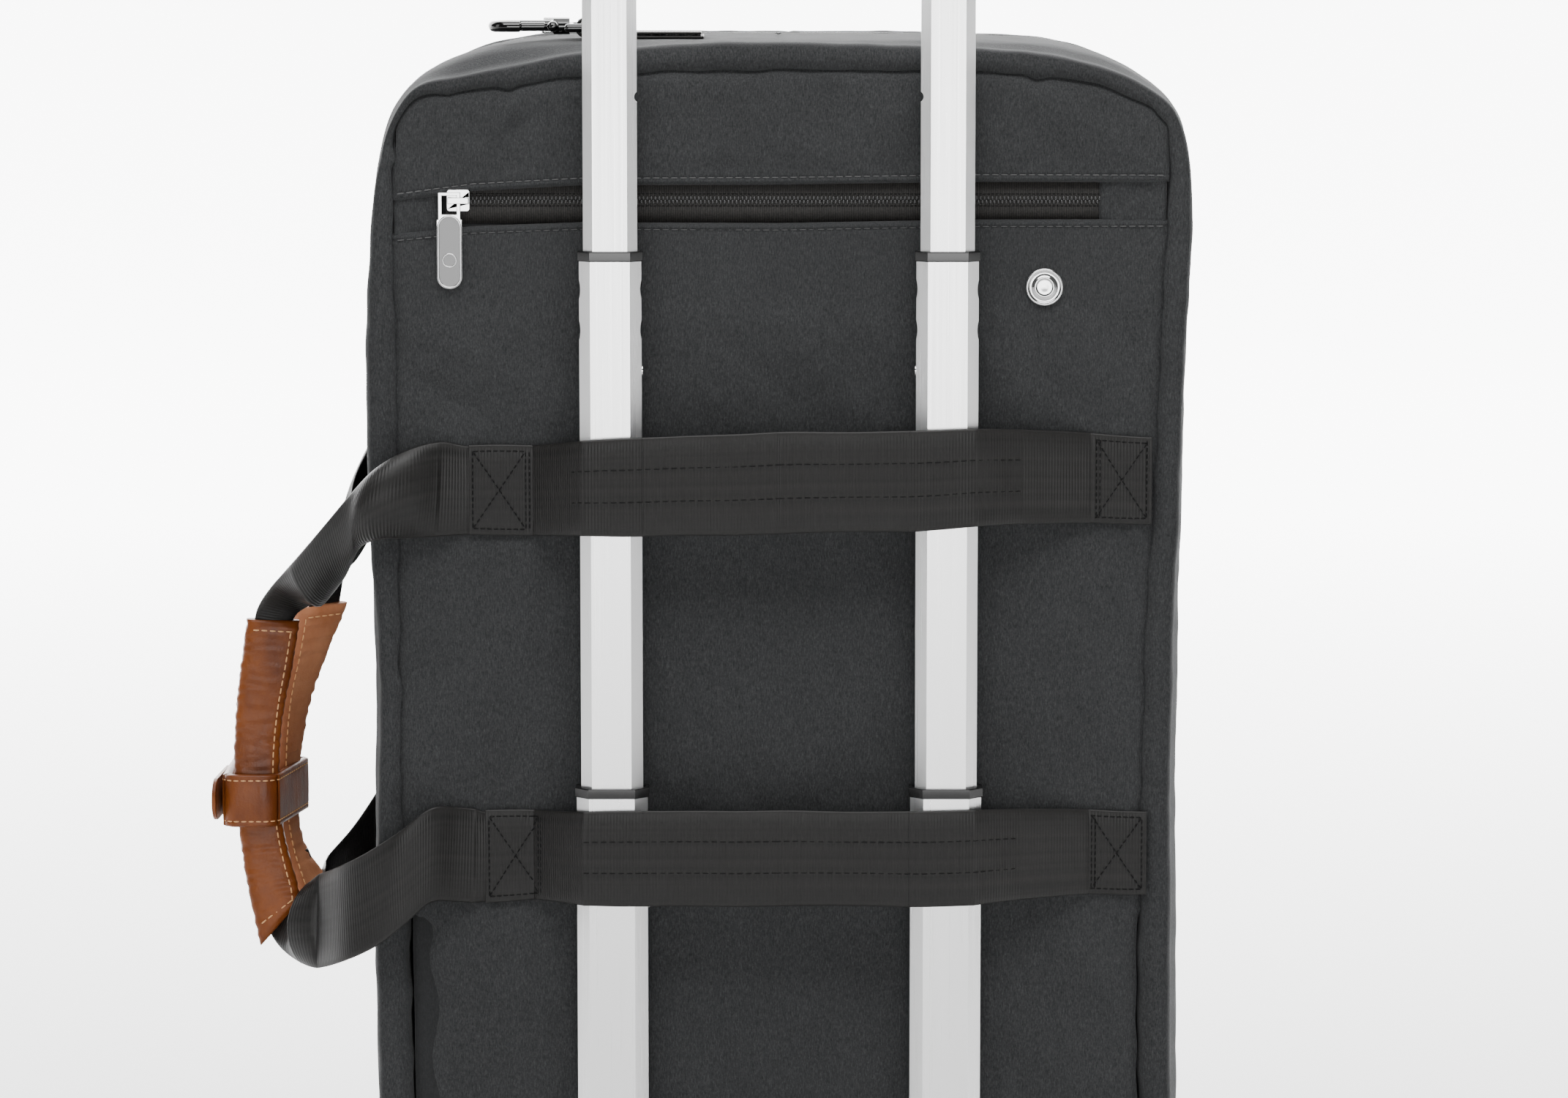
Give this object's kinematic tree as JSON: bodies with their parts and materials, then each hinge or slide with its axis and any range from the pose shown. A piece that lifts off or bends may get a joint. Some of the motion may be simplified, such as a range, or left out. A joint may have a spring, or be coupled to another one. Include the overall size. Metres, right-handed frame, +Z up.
{
  "type": "wheeled flight bag",
  "caption": "Soft-sided flight bag with side handle and back pocket, strapped to a wheeled trolley with a telescoping handle.",
  "frame": {"origin": "centre of the front foot's underside, on the floor", "axes": "+Z up; +Y from the trolley tubes through the bag to its lid; +X to the right of someone looking at the tubes, away from the carry handle"},
  "size_m": [0.3927, 0.2269, 0.9495],
  "materials": {
    "tray_plastic": "fine textured moulding",
    "steel": "zinc plated",
    "foot_rubber": "matt",
    "tyre_rubber": "matt",
    "hub_plastic": "satin",
    "satin_aluminium": "satin anodised",
    "collar_plastic": "satin",
    "grip_plastic": "soft touch",
    "button_plastic": "satin",
    "lock_pin_metal": "polished",
    "bag_fabric": "heathered charcoal weave",
    "zip_tape": "woven tape with coil",
    "chrome_hardware": "polished",
    "black_webbing": "ribbed webbing",
    "black_chrome": "black chrome",
    "tan_leather": "smooth tan leather"
  },
  "bodies": {
    "trolley": {"base_tray": "tray_plastic", "wheel_housing_left": "tray_plastic", "wheel_housing_right": "tray_plastic", "axles": "steel", "front_foot": "tray_plastic", "foot_pad": "foot_rubber", "base_screws": "steel", "outer_tube_left": "satin_aluminium", "outer_tube_right": "satin_aluminium", "outer_collars": "collar_plastic"},
    "wheel_left": {"wheel_tyre_left": "tyre_rubber", "wheel_hub_left": "hub_plastic"},
    "wheel_right": {"wheel_tyre_right": "tyre_rubber", "wheel_hub_right": "hub_plastic"},
    "second_stage": {"second_tube_left": "satin_aluminium", "second_tube_right": "satin_aluminium", "second_collars": "collar_plastic", "second_bushes": "collar_plastic"},
    "third_stage": {"third_tube_left": "satin_aluminium", "third_tube_right": "satin_aluminium", "third_collars": "collar_plastic", "third_bushes": "collar_plastic"},
    "top_stage": {"top_tube_left": "satin_aluminium", "top_tube_right": "satin_aluminium", "top_bushes": "collar_plastic", "release_rods": "steel", "grip_lower": "grip_plastic", "grip_upper": "grip_plastic"},
    "release_button": {"release_button": "button_plastic"},
    "bag": {"gusset": "bag_fabric", "back_panel": "bag_fabric", "pocket_panel": "bag_fabric", "back_yoke": "bag_fabric", "pocket_zip": "zip_tape", "stud": "chrome_hardware", "lower_band": "black_webbing", "upper_band": "black_webbing", "rear_straps": "black_webbing", "front_straps": "black_webbing", "body_zip_tape": "zip_tape", "top_strap": "black_webbing"},
    "pocket_slider": {"pocket_slider": "chrome_hardware"},
    "pocket_pull": {"pocket_pull": "chrome_hardware"},
    "main_slider": {"main_slider": "chrome_hardware"},
    "main_pull": {"main_pull": "chrome_hardware"},
    "hook": {"snap_hook": "black_chrome"},
    "hook_gate": {"hook_gate": "black_chrome"},
    "lid": {"lid_gusset": "bag_fabric", "front_panel": "bag_fabric", "lid_zip_tape": "zip_tape"},
    "carry_handle": {"rear_grip": "tan_leather", "front_grip": "tan_leather", "keeper": "tan_leather"},
    "keeper_tab": {"keeper_tab": "tan_leather"},
    "outer_lock_pin_left": {"outer_lock_pin_left": "lock_pin_metal"},
    "outer_lock_pin_right": {"outer_lock_pin_right": "lock_pin_metal"},
    "second_lock_pin_left": {"second_lock_pin_left": "lock_pin_metal"},
    "second_lock_pin_right": {"second_lock_pin_right": "lock_pin_metal"},
    "third_lock_pin_left": {"third_lock_pin_left": "lock_pin_metal"},
    "third_lock_pin_right": {"third_lock_pin_right": "lock_pin_metal"}
  },
  "joints": [
    {"name": "wheel_left_spin", "type": "hinge", "parent": "trolley", "child": "wheel_left", "pos_m": [-0.132, -0.1584, 0.03], "axis": [1, 0, 0], "continuous": true},
    {"name": "wheel_right_spin", "type": "hinge", "parent": "trolley", "child": "wheel_right", "pos_m": [0.132, -0.1584, 0.03], "axis": [1, 0, 0], "continuous": true},
    {"name": "second_stage_slide", "type": "slide", "parent": "trolley", "child": "second_stage", "axis": [0, 0, 1], "range_m": [-0.203, 0]},
    {"name": "third_stage_slide", "type": "slide", "parent": "second_stage", "child": "third_stage", "axis": [0, 0, 1], "range_m": [-0.203, 0]},
    {"name": "top_stage_slide", "type": "slide", "parent": "third_stage", "child": "top_stage", "axis": [0, 0, 1], "range_m": [-0.207, 0]},
    {"name": "release_press", "type": "slide", "parent": "top_stage", "child": "release_button", "axis": [0, 0, -1], "range_m": [0, 0.004], "stiffness_N_per_m": 600},
    {"name": "outer_lock_left", "type": "slide", "parent": "trolley", "child": "outer_lock_pin_left", "axis": [-1, 0, 0], "range_m": [0, 0.001]},
    {"name": "outer_lock_right", "type": "slide", "parent": "trolley", "child": "outer_lock_pin_right", "axis": [1, 0, 0], "range_m": [0, 0.001]},
    {"name": "second_lock_left", "type": "slide", "parent": "second_stage", "child": "second_lock_pin_left", "axis": [-1, 0, 0], "range_m": [0, 0.001]},
    {"name": "second_lock_right", "type": "slide", "parent": "second_stage", "child": "second_lock_pin_right", "axis": [1, 0, 0], "range_m": [0, 0.001]},
    {"name": "third_lock_left", "type": "slide", "parent": "third_stage", "child": "third_lock_pin_left", "axis": [-1, 0, 0], "range_m": [0, 0.001]},
    {"name": "third_lock_right", "type": "slide", "parent": "third_stage", "child": "third_lock_pin_right", "axis": [1, 0, 0], "range_m": [0, 0.001]},
    {"name": "bag_lift", "type": "slide", "parent": "trolley", "child": "bag", "axis": [0, 0, 1], "range_m": [0, 0.6]},
    {"name": "lid_open", "type": "hinge", "parent": "bag", "child": "lid", "pos_m": [0.1645, -0.02, 0.322], "axis": [0, 0, -1], "range_deg": [0, 160]},
    {"name": "pocket_zip_slide", "type": "slide", "parent": "bag", "child": "pocket_slider", "axis": [1, 0, 0], "range_m": [0, 0.22]},
    {"name": "pocket_pull_swing", "type": "hinge", "parent": "pocket_slider", "child": "pocket_pull", "pos_m": [-0.1295, -0.1566, 0.51], "axis": [0, 1, 0], "range_deg": [-30, 30]},
    {"name": "main_zip_slide", "type": "slide", "parent": "bag", "child": "main_slider", "axis": [1, 0, 0], "range_m": [0, 0.186]},
    {"name": "main_pull_flip", "type": "hinge", "parent": "main_slider", "child": "main_pull", "pos_m": [-0.0946, -0.02, 0.57575], "axis": [0, 1, 0], "range_deg": [0, 95]},
    {"name": "hook_flip", "type": "hinge", "parent": "bag", "child": "hook", "pos_m": [-0.077, -0.113, 0.5766], "axis": [0, 1, 0], "range_deg": [0, 150]},
    {"name": "hook_gate_open", "type": "hinge", "parent": "hook", "child": "hook_gate", "pos_m": [-0.0932, -0.1193, 0.577], "axis": [0, 0, -1], "range_deg": [0, 22], "stiffness_Nm_per_rad": 0.01},
    {"name": "handle_swing", "type": "hinge", "parent": "bag", "child": "carry_handle", "pos_m": [-0.163, -0.11, 0.266], "axis": [0, 0, 1], "range_deg": [-6, 25], "deforming": ["rear_straps", "front_straps"]},
    {"name": "keeper_tab_open", "type": "hinge", "parent": "carry_handle", "child": "keeper_tab", "pos_m": [-0.2253, -0.09, 0.266], "axis": [0, 0, -1], "range_deg": [0, 70]}
  ],
  "couplings": [
    {"joint": "outer_lock_left", "follows": "release_press", "ratio": 0.25},
    {"joint": "outer_lock_right", "follows": "release_press", "ratio": 0.25},
    {"joint": "second_lock_left", "follows": "release_press", "ratio": 0.25},
    {"joint": "second_lock_right", "follows": "release_press", "ratio": 0.25},
    {"joint": "third_lock_left", "follows": "release_press", "ratio": 0.25},
    {"joint": "third_lock_right", "follows": "release_press", "ratio": 0.25}
  ]
}
